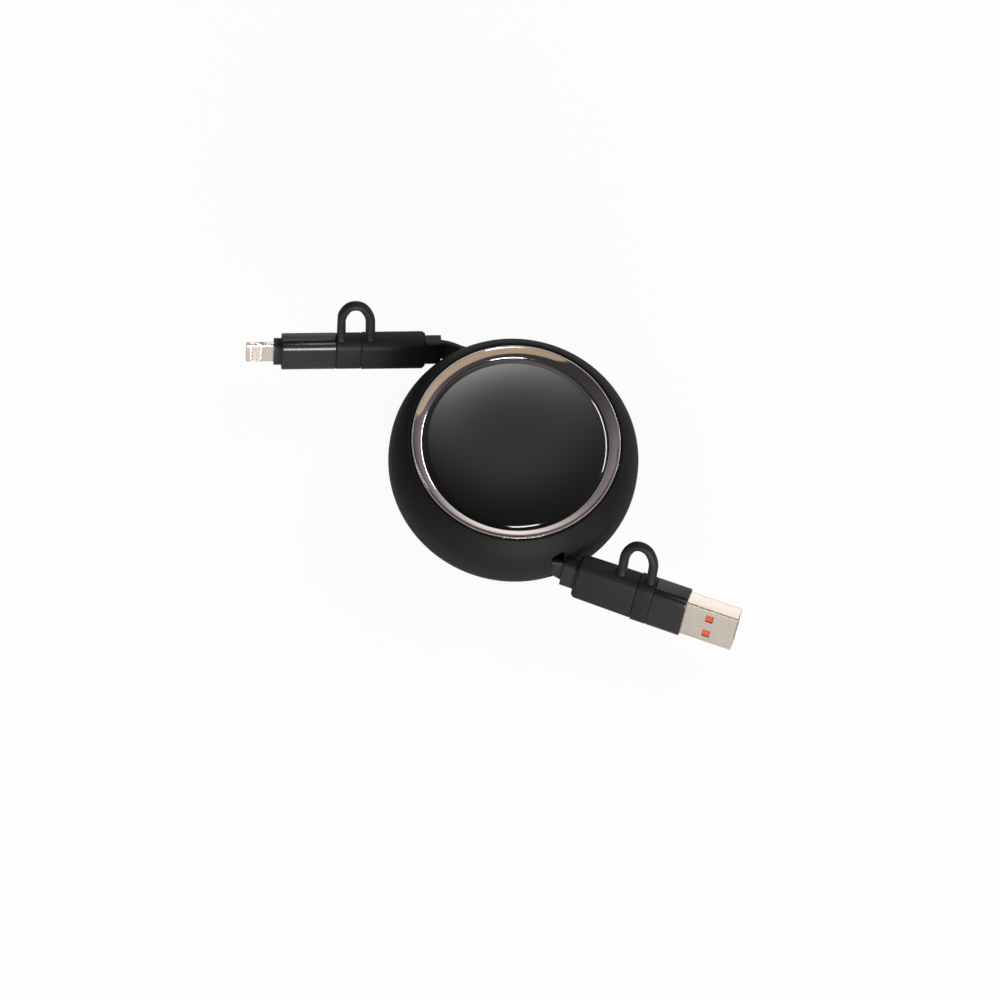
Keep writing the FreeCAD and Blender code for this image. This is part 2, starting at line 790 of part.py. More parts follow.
def type_a_contacts():
    front = flat_plug_end - strip_end_distance
    top = insert_face()
    strips = []
    for place, length in ((-1.5, outer_strip_length), (-0.5, inner_strip_length),
                          (0.5, inner_strip_length), (1.5, outer_strip_length)):
        at = place * strip_pitch
        strips.append(block(front - length, front, top, top + contact_thickness,
                            at - strip_width / 2, at + strip_width / 2))
    return Part.makeCompound(strips)


os.makedirs("parts", exist_ok=True)

export(bottom_shell(), "bottom_shell")
export(top_shell(), "top_shell")
export(trim_ring(), "trim_ring")
export(top_disc(), "top_disc")
export(axle_screw(), "axle_screw")
export(spool(), "spool")
export(spool_cover(), "spool_cover")
export(mainspring(), "mainspring")
export(pawl(), "pawl")
export(cable_pack(), "cable_pack")

left_path = left_stations()
right_path = right_stations()
export(lead(left_path), "left_lead")
export(lead(right_path), "right_lead")

left_pieces = {
    "left_plug_body": plug_body(left_tail_length),
    "left_plug_shell": plug_shell(),
    "left_plug_insert": plug_insert(),
    "left_tether": tether(left_sleeve_width, left_sleeve_width, left_sleeve_thickness, left_band_end,
                          left_section_width, left_section_thickness,
                          (left_sleeve_leg_distance, left_band_leg_distance), left_loop_lean_angle),
    "eight_pin_tube": adapter_tube(left_band_end, left_tube_end, left_section_width, left_section_thickness),
    "eight_pin_core": eight_pin_core(),
    "eight_pin_tab": eight_pin_tab(),
    "eight_pin_contact_block": window(window_fit_gap, tab_thickness - 2 * contact_thickness),
    "eight_pin_contacts": eight_pin_contacts(),
    "eight_pin_socket_liner": socket_liner(),
    "eight_pin_socket_tongue": socket_tongue(),
}
right_pieces = {
    "right_plug_body": plug_body(right_tail_length),
    "right_plug_shell": plug_shell(),
    "right_plug_insert": plug_insert(),
    "right_tether": tether(right_sleeve_tail_width, right_sleeve_width, right_sleeve_thickness,
                           right_band_end, right_section_width, right_section_thickness,
                           (right_sleeve_leg_distance, right_band_leg_distance), right_loop_lean_angle),
    "type_a_tube": adapter_tube(right_band_end, right_tube_end, right_section_width,
                                right_section_thickness),
    "type_a_core": type_a_core(),
    "type_a_shell": type_a_shell(),
    "type_a_insert": type_a_insert(),
    "type_a_contacts": type_a_contacts(),
    "type_a_socket_liner": socket_liner(),
    "type_a_socket_tongue": socket_tongue(),
}
ends = ((left_pieces, left_path, left_tail_length), (right_pieces, right_path, right_tail_length))
for pieces, path, tail_length in ends:
    sleeve_frame = path[-1].multiply(FreeCAD.Placement(X * tail_length, FreeCAD.Rotation()))
    for node, shape in pieces.items():
        export(placed(shape, sleeve_frame), node)
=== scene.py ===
# %% [markdown]
# # A retractable charging cable with two adapters
#
# The object is a round black reel. A flat cable leaves it on opposite sides, and each end carries a
# plug in a rubber sleeve with a push-on adapter tied to it by a rubber loop.
#
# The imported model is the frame: it gives every piece its place, its body and its joints. This lesson
# dresses that frame. Glossy and soft pieces are worked out again as smooth surfaces, because a mesh
# that comes from solids is cut into flat triangles that a polished surface would show. Most small, flat
# or hidden pieces keep their own mesh and only get a finish.

# %% Load the frame
import json
import math

import bmesh
import bpy
import numpy as np
from mathutils import Matrix, Vector

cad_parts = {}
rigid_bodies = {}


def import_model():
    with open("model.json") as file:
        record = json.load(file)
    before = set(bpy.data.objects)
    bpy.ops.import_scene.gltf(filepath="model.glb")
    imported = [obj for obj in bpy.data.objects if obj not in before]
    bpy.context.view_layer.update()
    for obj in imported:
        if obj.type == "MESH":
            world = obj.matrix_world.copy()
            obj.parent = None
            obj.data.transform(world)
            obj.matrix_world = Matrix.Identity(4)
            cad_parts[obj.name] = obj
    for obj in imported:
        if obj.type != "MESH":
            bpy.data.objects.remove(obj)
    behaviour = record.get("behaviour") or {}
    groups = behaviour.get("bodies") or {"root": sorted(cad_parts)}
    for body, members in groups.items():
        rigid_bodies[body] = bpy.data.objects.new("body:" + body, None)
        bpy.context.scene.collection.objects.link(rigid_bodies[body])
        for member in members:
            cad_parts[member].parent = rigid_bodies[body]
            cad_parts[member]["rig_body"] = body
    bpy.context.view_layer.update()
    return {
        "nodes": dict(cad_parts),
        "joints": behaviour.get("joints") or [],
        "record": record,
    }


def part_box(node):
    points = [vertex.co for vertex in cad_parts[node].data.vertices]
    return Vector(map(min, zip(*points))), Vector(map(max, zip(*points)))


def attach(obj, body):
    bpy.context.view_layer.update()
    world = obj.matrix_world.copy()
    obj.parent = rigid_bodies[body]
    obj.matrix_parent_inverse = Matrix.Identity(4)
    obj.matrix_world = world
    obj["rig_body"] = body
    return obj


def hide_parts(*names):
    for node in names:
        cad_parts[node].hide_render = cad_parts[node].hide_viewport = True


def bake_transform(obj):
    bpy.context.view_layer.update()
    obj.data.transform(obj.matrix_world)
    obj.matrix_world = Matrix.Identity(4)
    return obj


for leftover in list(bpy.data.objects):
    bpy.data.objects.remove(leftover)

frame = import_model()
nodes = frame["nodes"]
joints = {joint["name"]: joint for joint in frame["joints"]}
mounts = {mount["name"]: mount for mount in frame["record"]["mounts"]}
mm = 0.001

# %% [markdown]
# ## The camera
#
# The reel is seen from above and slightly from the front, and the picture is turned a little. Long
# lenses keep small products free of distortion, so the camera stands well away. The picture's scale
# comes from the plugs, whose sizes are standard, and one point of the picture is tied to one point of
# the object: the middle of the trim ring.

# %% Place the camera
frame_pixels = 1000.0
pixels_per_mm = 3.92
ring_middle_px = (516.1, 441.7)
tilt = math.radians(23.0)
picture_turn = math.radians(-8.5)
camera_distance = 4.0

reel_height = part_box("top_shell")[1].z
look_back = Vector((0.0, -math.sin(tilt), math.cos(tilt)))
level_right = Vector((1.0, 0.0, 0.0))
level_up = look_back.cross(level_right)
picture_right = level_right * math.cos(picture_turn) - level_up * math.sin(picture_turn)
picture_up = level_right * math.sin(picture_turn) + level_up * math.cos(picture_turn)

across = (ring_middle_px[0] - frame_pixels / 2) / pixels_per_mm * mm
above = (frame_pixels / 2 - ring_middle_px[1]) / pixels_per_mm * mm
aim = Vector((0.0, 0.0, reel_height)) - picture_right * across - picture_up * above

lens = bpy.data.cameras.new("studio_camera")
lens.sensor_width = 36.0
lens.lens = lens.sensor_width * camera_distance / (frame_pixels / pixels_per_mm * mm)
camera = bpy.data.objects.new("studio_camera", lens)
bpy.context.scene.collection.objects.link(camera)
turn = Matrix((picture_right, picture_up, look_back)).transposed().to_4x4()
camera.matrix_world = Matrix.Translation(aim + look_back * camera_distance) @ turn
bpy.context.scene.camera = camera
print("camera: lens", round(lens.lens, 1), "mm")

# %% [markdown]
# ## Surfaces from arrays
#
# Most pieces here are a ring of points carried along a line. A grid of points, rows by columns, holds
# such a shape, and the four corners of each grid cell make a face. Arrays do this for the whole piece
# at once. After that, points that fall together are merged, faces are turned outwards, and edges that
# bend sharply are marked so that only true curves are shaded smooth.

# %% Turn a grid of points into a piece
weld_distance = 2e-7


def finish_mesh(mesh, crease):
    """Merge double points, point faces outwards and shade smooth except across edges over crease."""
    shape = bmesh.new()
    shape.from_mesh(mesh)
    bmesh.ops.remove_doubles(shape, verts=shape.verts, dist=weld_distance)
    bmesh.ops.recalc_face_normals(shape, faces=shape.faces)
    shape.to_mesh(mesh)
    shape.free()
    mesh.shade_smooth()
    mesh.set_sharp_from_angle(angle=math.radians(crease))


def piece_from(mesh):
    """Object that shows a mesh, under the mesh's own name."""
    piece = bpy.data.objects.new(mesh.name, mesh)
    bpy.context.scene.collection.objects.link(piece)
    return piece


def grid_mesh(name, grid, wrap_rows=False, wrap_columns=False, keep=None, crease=35.0):
    """Mesh over an array of rows by columns by 3: one quad for each cell that keep allows.

    Wrapping joins the last row or column to the first, as round a tube.
    """
    rows, columns = grid.shape[:2]
    row = np.arange(rows if wrap_rows else rows - 1)
    column = np.arange(columns if wrap_columns else columns - 1)
    i, j = np.meshgrid(row, column, indexing="ij")
    below, beside = (i + 1) % rows, (j + 1) % columns
    quads = np.stack([i * columns + j, below * columns + j,
                      below * columns + beside, i * columns + beside], -1)
    quads = quads[keep] if keep is not None else quads.reshape(-1, 4)
    mesh = bpy.data.meshes.new(name)
    mesh.from_pydata(grid.reshape(-1, 3).tolist(), [], quads.tolist())
    finish_mesh(mesh, crease)
    return mesh


def smooth_copy(node, crease=25.0):
    """Copy of a CAD node with its loose triangles merged, so that its curves can be shaded smooth."""
    mesh = nodes[node].data.copy()
    mesh.name = node + "_smooth"
    finish_mesh(mesh, crease)
    piece = piece_from(mesh)
    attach(piece, nodes[node]["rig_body"])
    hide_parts(node)
    return piece


# %% [markdown]
# ## Finishes as arithmetic
#
# A finish is a small network of shader nodes. Written as arithmetic it stays readable: a socket is
# wrapped in a class, and adding or multiplying two of them places the Math node that does it. Every
# other node comes from one method that takes its type, its settings and what goes into its sockets.

# %% A socket that can be calculated with
mix_first, mix_second, mix_result = 6, 7, 2  # the Mix node's sockets for colours


class Wire:
    """One output socket of a finish. Arithmetic on it adds Math nodes."""

    def __init__(self, finish, socket):
        self.finish = finish
        self.socket = socket

    def math(self, operation, first, second):
        return self.finish.node("ShaderNodeMath", {"operation": operation}, {0: first, 1: second})

    def __add__(self, other):
        return self.math("ADD", self, other)

    __radd__ = __add__

    def __sub__(self, other):
        return self.math("SUBTRACT", self, other)

    def __rsub__(self, other):
        return self.math("SUBTRACT", other, self)

    def __mul__(self, other):
        return self.math("MULTIPLY", self, other)

    __rmul__ = __mul__


class Finish:
    """A material built round one Principled shader. Even values are set on its own sockets."""

    def __init__(self, name, **even):
        self.material = bpy.data.materials.new(name)
        self.material.use_nodes = True
        self.tree = self.material.node_tree
        self.tree.nodes.clear()
        self.shader = self.tree.nodes.new("ShaderNodeBsdfPrincipled")
        self.output = self.tree.nodes.new("ShaderNodeOutputMaterial")
        self.tree.links.new(self.shader.outputs["BSDF"], self.output.inputs["Surface"])
        for words, value in even.items():
            self.shader.inputs[words.replace("_", " ").title().replace("Ior", "IOR")].default_value = value

    def plug(self, socket, value):
        if isinstance(value, Wire):
            self.tree.links.new(value.socket, socket)
        else:
            socket.default_value = value

    def node(self, kind, settings=None, sockets=None, out=0):
        made = self.tree.nodes.new(kind)
        for key, value in (settings or {}).items():
            setattr(made, key, value)
        for key, value in (sockets or {}).items():
            self.plug(made.inputs[key], value)
        return Wire(self, made.outputs[out])

    def feed(self, socket, value):
        self.plug(self.shader.inputs[socket], value)

    def place(self, source="Object"):
        return self.node("ShaderNodeTexCoord", out=source)

    def stretched(self, source, scale):
        return self.node("ShaderNodeMapping", None, {"Vector": self.place(source), "Scale": scale})

    def noise(self, size, detail, vector=None):
        """Cloudy pattern whose patches are about size metres across, from 0 to 1."""
        return self.node("ShaderNodeTexNoise", None, {
            "Vector": vector or self.place(), "Scale": 1.0 / size, "Detail": detail, "Roughness": 0.55})

    def between(self, amount, first, second):
        """Colour that goes from first to second as amount goes from 0 to 1."""
        return self.node("ShaderNodeMix", {"data_type": "RGBA"},
                         {"Factor": amount, mix_first: first, mix_second: second}, out=mix_result)

    def bump(self, height, depth, strength):
        """Normal for a relief that is depth metres high where height is 1."""
        return self.node("ShaderNodeBump", None,
                         {"Height": height, "Distance": depth, "Strength": strength})


def grey(level, tint=0.0):
    """Grey of one level. A tint above 0 makes it warmer, and one below 0 cooler."""
    return (level, level * (1 - tint / 2), level * (1 - tint), 1.0)


# %% [markdown]
# ### Black, six times
#
# Nearly everything on this object is black, and only the surface tells the pieces apart. The shells
# have a soft coat with a very fine grain. The sleeves are silicone: duller, with a bloom that lightens
# grazing light. The barrels are anodised metal and throw long highlights. The disc is polished and
# shows the room. The plug mouldings are plain matt plastic, and the cable has a drawn skin.


# %% Black finishes
def soft_coat():
    finish = Finish("soft_coat", ior=1.45, specular_ior_level=0.075)
    smudge = finish.noise(18 * mm, 3.0)
    grain = finish.noise(0.16 * mm, 1.0)
    finish.feed("Base Color", finish.between(smudge, grey(0.0060, -0.1), grey(0.0075, -0.14)))
    finish.feed("Roughness", 0.5 + 0.1 * smudge)
    finish.feed("Normal", finish.bump(grain, 0.012 * mm, 0.35))
    return finish.material


def silicone():
    finish = Finish("silicone", ior=1.42, specular_ior_level=0.18, sheen_weight=0.03, sheen_roughness=0.4)
    cloud = finish.noise(5 * mm, 4.0)
    grain = finish.noise(0.22 * mm, 2.0)
    finish.feed("Base Color", finish.between(cloud, grey(0.006), grey(0.009, -0.05)))
    finish.feed("Roughness", 0.46 + 0.16 * cloud)
    finish.feed("Normal", finish.bump(grain, 0.02 * mm, 0.4))
    return finish.material


def anodised():
    finish = Finish("anodised_black", ior=1.41)
    streak = finish.noise(0.3 * mm, 3.0, finish.stretched("Object", (0.12, 1.0, 1.0)))
    cloud = finish.noise(4 * mm, 2.0)
    finish.feed("Base Color", finish.between(cloud, grey(0.0035), grey(0.0055)))
    finish.feed("Roughness", 0.2 + 0.1 * streak)
    finish.feed("Normal", finish.bump(streak, 0.006 * mm, 0.3))
    return finish.material


def piano_black():
    finish = Finish("piano_black", base_color=grey(0.003), ior=1.5, coat_weight=0.3, coat_roughness=0.03)
    haze = finish.noise(9 * mm, 5.0)
    finish.feed("Roughness", 0.045 + 0.06 * haze)
    return finish.material


def matt_moulding():
    finish = Finish("matt_moulding", ior=1.46, specular_ior_level=0.25)
    grain = finish.noise(0.12 * mm, 2.0)
    cloud = finish.noise(3 * mm, 2.0)
    finish.feed("Base Color", finish.between(cloud, grey(0.007), grey(0.010)))
    finish.feed("Roughness", 0.42 + 0.12 * cloud)
    finish.feed("Normal", finish.bump(grain, 0.014 * mm, 0.4))
    return finish.material


def cable_skin():
    finish = Finish("cable_skin", ior=1.45, specular_ior_level=0.25)
    drawn = finish.noise(0.25 * mm, 2.0, finish.stretched("Object", (0.06, 1.0, 1.0)))
    finish.feed("Base Color", finish.between(drawn, grey(0.0075), grey(0.0115)))
    finish.feed("Roughness", 0.45 + 0.12 * drawn)
    finish.feed("Normal", finish.bump(drawn, 0.02 * mm, 0.35))
    return finish.material


soft_coat_black = soft_coat()
silicone_black = silicone()
anodised_black = anodised()
piano = piano_black()
moulding_black = matt_moulding()
cable_black = cable_skin()
blacks = (soft_coat_black, silicone_black, anodised_black, piano, moulding_black, cable_black)
print("black finishes:", [material.name for material in blacks])

# %% [markdown]
# ### Metal and coloured plastic
#
# The trim ring is polished dark metal that was turned on a lathe, so its finest marks run round it.
# They follow the ring's own map, in which one direction goes round and the other goes inwards. The
# plugs are nickel plated and a little warmer. The orange and the pale insulators are glossy mouldings.


# %% Bright finishes
def turned_metal():
    finish = Finish("turned_metal", metallic=1.0)
    marks = finish.noise(1.0, 2.0, finish.stretched("UV", (14.0, 900.0, 1.0)))
    cloud = finish.noise(7 * mm, 3.0)
    finish.feed("Base Color", finish.between(cloud, (0.40, 0.355, 0.36, 1.0), (0.47, 0.42, 0.42, 1.0)))
    finish.feed("Roughness", 0.06 + 0.07 * marks)
    finish.feed("Normal", finish.bump(marks, 0.004 * mm, 0.25))
    return finish.material


def nickel_plate():
    finish = Finish("nickel_plate", metallic=1.0)
    rolled = finish.noise(0.25 * mm, 3.0, finish.stretched("Object", (0.1, 1.0, 1.0)))
    cloud = finish.noise(3 * mm, 3.0)
    finish.feed("Base Color", finish.between(cloud, (0.57, 0.52, 0.475, 1.0), (0.64, 0.585, 0.535, 1.0)))
    finish.feed("Roughness", 0.2 + 0.14 * rolled)
    finish.feed("Normal", finish.bump(rolled, 0.004 * mm, 0.3))
    return finish.material


def gold_flash():
    finish = Finish("gold_flash", metallic=1.0)
    wear = finish.noise(0.5 * mm, 3.0)
    finish.feed("Base Color", finish.between(wear, (0.66, 0.57, 0.52, 1.0), (0.64, 0.58, 0.55, 1.0)))
    finish.feed("Roughness", 0.2 + 0.15 * wear)
    return finish.material


def coloured_moulding(name, deep, light):
    finish = Finish(name, ior=1.5)
    cloud = finish.noise(1.5 * mm, 3.0)
    finish.feed("Base Color", finish.between(cloud, deep, light))
    finish.feed("Roughness", 0.28 + 0.12 * cloud)
    finish.feed("Normal", finish.bump(finish.noise(0.1 * mm, 1.0), 0.006 * mm, 0.3))
    return finish.material


def spring_strip():
    finish = Finish("spring_strip", metallic=1.0)
    rolled = finish.noise(0.4 * mm, 3.0, finish.stretched("Object", (1.0, 1.0, 0.1)))
    finish.feed("Base Color", finish.between(rolled, (0.42, 0.43, 0.46, 1.0), (0.56, 0.56, 0.58, 1.0)))
    finish.feed("Roughness", 0.25 + 0.15 * rolled)
    return finish.material


ring_metal = turned_metal()
nickel = nickel_plate()
gold = gold_flash()
steel = spring_strip()
orange = coloured_moulding("orange_moulding", (0.30, 0.038, 0.014, 1.0), (0.36, 0.055, 0.021, 1.0))
pale = coloured_moulding("pale_moulding", (0.62, 0.56, 0.55, 1.0), (0.68, 0.62, 0.61, 1.0))
natural = coloured_moulding("natural_moulding", (0.52, 0.51, 0.47, 1.0), (0.6, 0.59, 0.56, 1.0))
brights = (ring_metal, nickel, gold, steel, orange, pale, natural)
print("bright finishes:", [material.name for material in brights])


# %% Give a piece its finish
def dress(piece, material):
    """Give a piece one finish, in place of any it had."""
    piece.data.materials.clear()
    piece.data.materials.append(material)
    return piece


hidden = {"axle_screw": steel, "spool": natural, "spool_cover": natural, "pawl": natural,
          "cable_pack": cable_black}
for node, material in hidden.items():
    dress(nodes[node], material)
print("hidden pieces:", len(hidden))

# %% [markdown]
# ## The housing
#
# The two shells are moulded and then coated, so they have no sharp gloss. Their solids already have
# the bulging side and the two cable outlets, and a matt surface forgives a mesh of triangles, so a
# merged copy with smooth shading is enough.

# %% Shells
shell_crease = 20.0
for node in ("top_shell", "bottom_shell"):
    shell = dress(smooth_copy(node, shell_crease), soft_coat_black)
    print(node + ":", len(shell.data.polygons), "faces")

# %% [markdown]
# ## The mainspring
#
# A spiral strip lies hidden round the post. Its outer hook turns with the spool, but its inner hook
# stays in the post's slit. One rigid piece would cut the post as the spool turns, so the inner hook is
# split off and rides on the housing.


# %% Spring strip and hooks
def capped(rings):
    """Rings of points with their middle point at both ends, so that the surface closes."""
    middle = rings.mean(axis=1, keepdims=True)
    return np.concatenate([np.broadcast_to(middle[:1], rings[:1].shape), rings,
                           np.broadcast_to(middle[-1:], rings[-1:].shape)])


def spiral_strip(inner, outer, half_turns, thickness, bottom, top, steps=24):
    """Upright strip along half circles, each one step wider than the last.

    Half circle number n has radius inner + n step, and its centre lies on X at 0 for even n and at
    one step for odd n, so that each begins where the last one ended.
    """
    step = (outer - inner) / half_turns
    turn = np.linspace(0.0, half_turns, half_turns * steps + 1)
    number = np.minimum(np.floor(turn), half_turns - 1)
    across = np.array([-1, 1, 1, -1]) * thickness / 2
    radius = (inner + step * number)[:, None] + across
    x = (step * (number % 2))[:, None] + radius * np.cos(np.pi * turn)[:, None]
    y = radius * np.sin(np.pi * turn)[:, None]
    return np.stack([x, y, np.broadcast_to([bottom, bottom, top, top], x.shape)], -1)


def upright_hook(start, stop, side, bottom, top):
    """Flat bar along X from start to stop, between Y = 0 and side."""
    x = np.broadcast_to(np.array([[start], [stop]]), (2, 4))
    y = np.broadcast_to([0.0, side, side, 0.0], (2, 4))
    return np.stack([x, y, np.broadcast_to([bottom, bottom, top, top], (2, 4))], -1)


def spring_piece(name, rings, body):
    """Closed strip through the rings, on the body that it turns with."""
    piece = piece_from(grid_mesh(name, capped(rings), wrap_columns=True))
    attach(dress(piece, steel), body)
    return piece


spring_low, spring_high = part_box("mainspring")
strip_thickness, strip_half_turns = 0.25 * mm, 12
post_radius, post_gap, post_hook, hub_wall = 3.0 * mm, 0.2 * mm, 1.0 * mm, 1.2 * mm
hook_gap = 0.02 * mm
strip_inner, strip_outer = post_radius + post_gap, spring_high.x - hub_wall
spring_span = (spring_low.z, spring_high.z)
strip = spring_piece("mainspring_strip", spiral_strip(
    strip_inner + strip_thickness / 2, strip_outer - strip_thickness / 2, strip_half_turns,
    strip_thickness, *spring_span), "spool")
spring_piece("mainspring_outer_hook", upright_hook(
    strip_outer - strip_thickness, spring_high.x, -strip_thickness, *spring_span), "spool")
spring_piece("mainspring_inner_hook", upright_hook(
    post_radius - post_hook, strip_inner - hook_gap, strip_thickness, *spring_span), "housing")
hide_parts("mainspring")
print("mainspring:", strip_half_turns // 2, "turns from", round(strip_inner / mm, 2), "mm")

# %% [markdown]
# ## Ring and disc
#
# Both are turned shapes: an outline of radius and height, carried round the reel's axis. The ring is a
# shallow funnel with a narrow rounded lip. Its slope is hollow: steep at the lip and nearly flat at the
# inner edge. The disc is flat in its middle and falls away to a rounded shoulder. On both, the curvature
# decides where the lamps show up as thin bright lines, so the curves have many points.

# %% Carry an outline round the axis
map_scale = 20.0


def turned(name, radius, height, steps=256):
    """Surface of revolution about Z: point (r, h) of the outline goes to (r cos a, r sin a, h).

    The map holds the turn in one direction and the radius, times map_scale, in the other.
    """
    angle = np.linspace(0.0, 2 * np.pi, steps + 1)
    grid = np.stack([np.outer(radius, np.cos(angle)), np.outer(radius, np.sin(angle)),
                     np.outer(height, np.ones_like(angle))], -1)
    mesh = grid_mesh(name, grid)
    corner = np.empty(len(mesh.loops), np.int32)
    mesh.loops.foreach_get("vertex_index", corner)
    points = np.empty(len(mesh.vertices) * 3)
    mesh.vertices.foreach_get("co", points)
    x, y, z = points.reshape(-1, 3)[corner].T
    around = (np.arctan2(y, x) / (2 * np.pi)) % 1.0
    layer = mesh.uv_layers.new(name="turned")
    layer.data.foreach_set("uv", np.stack([around, np.hypot(x, y) * map_scale], -1).ravel())
    return piece_from(mesh)


def arc_points(centre, radii, start, end, count):
    """Points of an elliptical arc: centre plus (a cos t, b sin t), t in degrees from start to end."""
    t = np.radians(np.linspace(start, end, count))
    return centre[0] + radii[0] * np.cos(t), centre[1] + radii[1] * np.sin(t)


def joined(*runs):
    """One outline from several runs of (radius array, height array)."""
    return (np.concatenate([np.atleast_1d(run[0]) for run in runs]),
            np.concatenate([np.atleast_1d(run[1]) for run in runs]))


# %% Trim ring
ring_low, ring_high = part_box("trim_ring")
ring_width, edge_gap = 3.0 * mm, 0.12 * mm
lip_width, lip_round, lip_drop = 0.4 * mm, 0.15 * mm, 0.03 * mm
inner_edge_at, inner_edge_radius = 0.05 * mm, 0.04 * mm
slope_steps = 61
slope_knots, slope_degrees = (0.0, 0.58, 0.88, 1.0), (48.2, 30.0, 26.0, 13.0)

ring_outer, ring_top, recess_floor = ring_high.x - edge_gap, ring_high.z, ring_low.z
ring_inner = ring_high.x - ring_width
slope_radius = np.linspace(ring_outer - lip_width, ring_inner, slope_steps)
slope_tilt = np.radians(np.interp(np.linspace(0, 1, slope_steps), slope_knots, slope_degrees))
step_drop = np.tan((slope_tilt[1:] + slope_tilt[:-1]) / 2) * -np.diff(slope_radius)
slope_height = ring_top - lip_drop - np.concatenate([[0.0], np.cumsum(step_drop)])
ring_outline = joined(
    (ring_inner, recess_floor), (ring_outer, recess_floor),
    arc_points((ring_outer - lip_round, ring_top - lip_round), (lip_round, lip_round), 0, 90, 8),
    arc_points((slope_radius[0] + inner_edge_at, ring_top - lip_drop),
               (inner_edge_radius, lip_drop), 90, 150, 4),
    (slope_radius, slope_height), (ring_inner, recess_floor))
ring = turned("trim_ring_turned", *ring_outline)
dress(ring, ring_metal)
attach(ring, "housing")
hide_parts("trim_ring")
print("ring: radius", round(ring_outer / mm, 2), "mm,", len(ring.data.polygons), "faces")

# %% Gloss disc
disc_low, disc_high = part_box("top_disc")
disc_radius, disc_top = disc_high.x, disc_high.z
crown, dome_power = 0.84 * mm, 4
shoulder_radius, shoulder_width, shoulder_end = 4.6 * mm, 1.6 * mm, math.radians(30.0)
shoulder_points, dome_points = 32, 48

face_radius = disc_radius - shoulder_width
face_tilt = math.atan(dome_power * crown / face_radius)
shoulder_turn = np.linspace(shoulder_end, face_tilt, shoulder_points)
dome_share = np.linspace(1.0, 0.0, dome_points)[1:]
shoulder = (face_radius + shoulder_radius * (np.sin(shoulder_turn) - math.sin(face_tilt)),
            disc_top - crown + shoulder_radius * (np.cos(shoulder_turn) - math.cos(face_tilt)))
disc_outline = joined((0.0, disc_low.z), (shoulder[0][0], disc_low.z), shoulder,
                      (face_radius * dome_share, disc_top - crown * dome_share ** dome_power))
disc = turned("top_disc_turned", *disc_outline)
dress(disc, piano)
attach(disc, "housing")
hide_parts("top_disc")
print("disc: radius", round(disc_radius / mm, 2), "mm, shoulder from", round(face_radius / mm, 2), "mm")

# %% [markdown]
# ## A frame for each cable end
#
# Each end is built lying along its own X axis, with its wide side standing along Z, and then set in
# place. The joint that pulls the cable gives the direction, and the mount at the tip gives a point.
# The ends also lean back a little about their own axis, as the flat cable holds them.


# %% Lay out both ends
class CableEnd:
    """Axes of one cable end: X from sleeve to tip, Z up through the loop, both after the lean."""

    def __init__(self, joint, tip, reach, lean):
        along = np.array(joints[joint]["axis"], float)
        along /= np.linalg.norm(along)
        side = np.cross((0.0, 0.0, 1.0), along)
        lean = math.radians(lean)
        up = np.array((0.0, 0.0, math.cos(lean))) - side * math.sin(lean)
        self.axes = np.stack([along, np.cross(up, along), up])
        self.origin = np.array(mounts[tip]["pos_m"], float) - along * reach

    def set(self, local):
        """Points of the end's own axes, in the row frame."""
        return self.origin + local @ self.axes


sleeve_length = 16.4 * mm
adapter_gap = 0.2 * mm
adapter_start = sleeve_length + adapter_gap
left_band, left_barrel, collar_length, tab_length = 6.3 * mm, 14.0 * mm, 2.0 * mm, 7.1 * mm
right_band, right_barrel, flat_plug = 4.3 * mm, 9.0 * mm, 13.65 * mm
left_lean, right_lean = 18.0, -20.0

left_end = CableEnd("left_cable_pull", "eight_pin_plug",
                    adapter_start + left_band + left_barrel + collar_length + tab_length, left_lean)
right_end = CableEnd("right_cable_pull", "type_a_plug",
                     adapter_start + right_band + right_barrel + flat_plug, right_lean)
print("left end starts at", np.round(left_end.origin / mm, 1),
      "right at", np.round(right_end.origin / mm, 1))

# %% Rounded bars
least_corner = 0.05 * mm


def bar_grid(stations, per_corner=10):
    """Rings of rounded rectangles along X.

    A station is (x, width, thickness, corner). Each of a ring's four corners is a quarter circle
    round the point that lies one corner radius inside both sides.
    """
    x, width, thickness, corner = np.array(stations, float).T[:, :, None]
    quarter = np.linspace(0.0, np.pi / 2, per_corner)
    turn = (np.arange(4)[:, None] * np.pi / 2 + quarter).ravel()
    side_y = np.repeat([1, -1, -1, 1], per_corner)
    side_z = np.repeat([1, 1, -1, -1], per_corner)
    y = side_y * (thickness / 2 - corner) + corner * np.cos(turn)
    z = side_z * (width / 2 - corner) + corner * np.sin(turn)
    return np.stack([np.broadcast_to(x, y.shape), y, z], -1)


def rounded_end(x, inward, radius, width, thickness, corner, count=7):
    """Stations of a rounded rim, from the flat of the end at x to the full section.

    A quarter circle: at angle a the ring has come radius (1 - cos a) along and stands
    radius (1 - sin a) inside the full section.
    """
    a = np.linspace(0.0, np.pi / 2, count)
    inset = radius * (1 - np.sin(a))
    return np.stack([x + inward * radius * (1 - np.cos(a)), width - 2 * inset, thickness - 2 * inset,
                     np.maximum(corner - inset, least_corner)], -1).tolist()


def bar_piece(name, end, stations, material, crease=40.0):
    """Closed skin through the rings of all stations, set in place at its cable end."""
    grid = end.set(bar_grid(stations))
    piece = piece_from(grid_mesh(name, grid, wrap_rows=True, wrap_columns=True, crease=crease))
    return dress(piece, material)
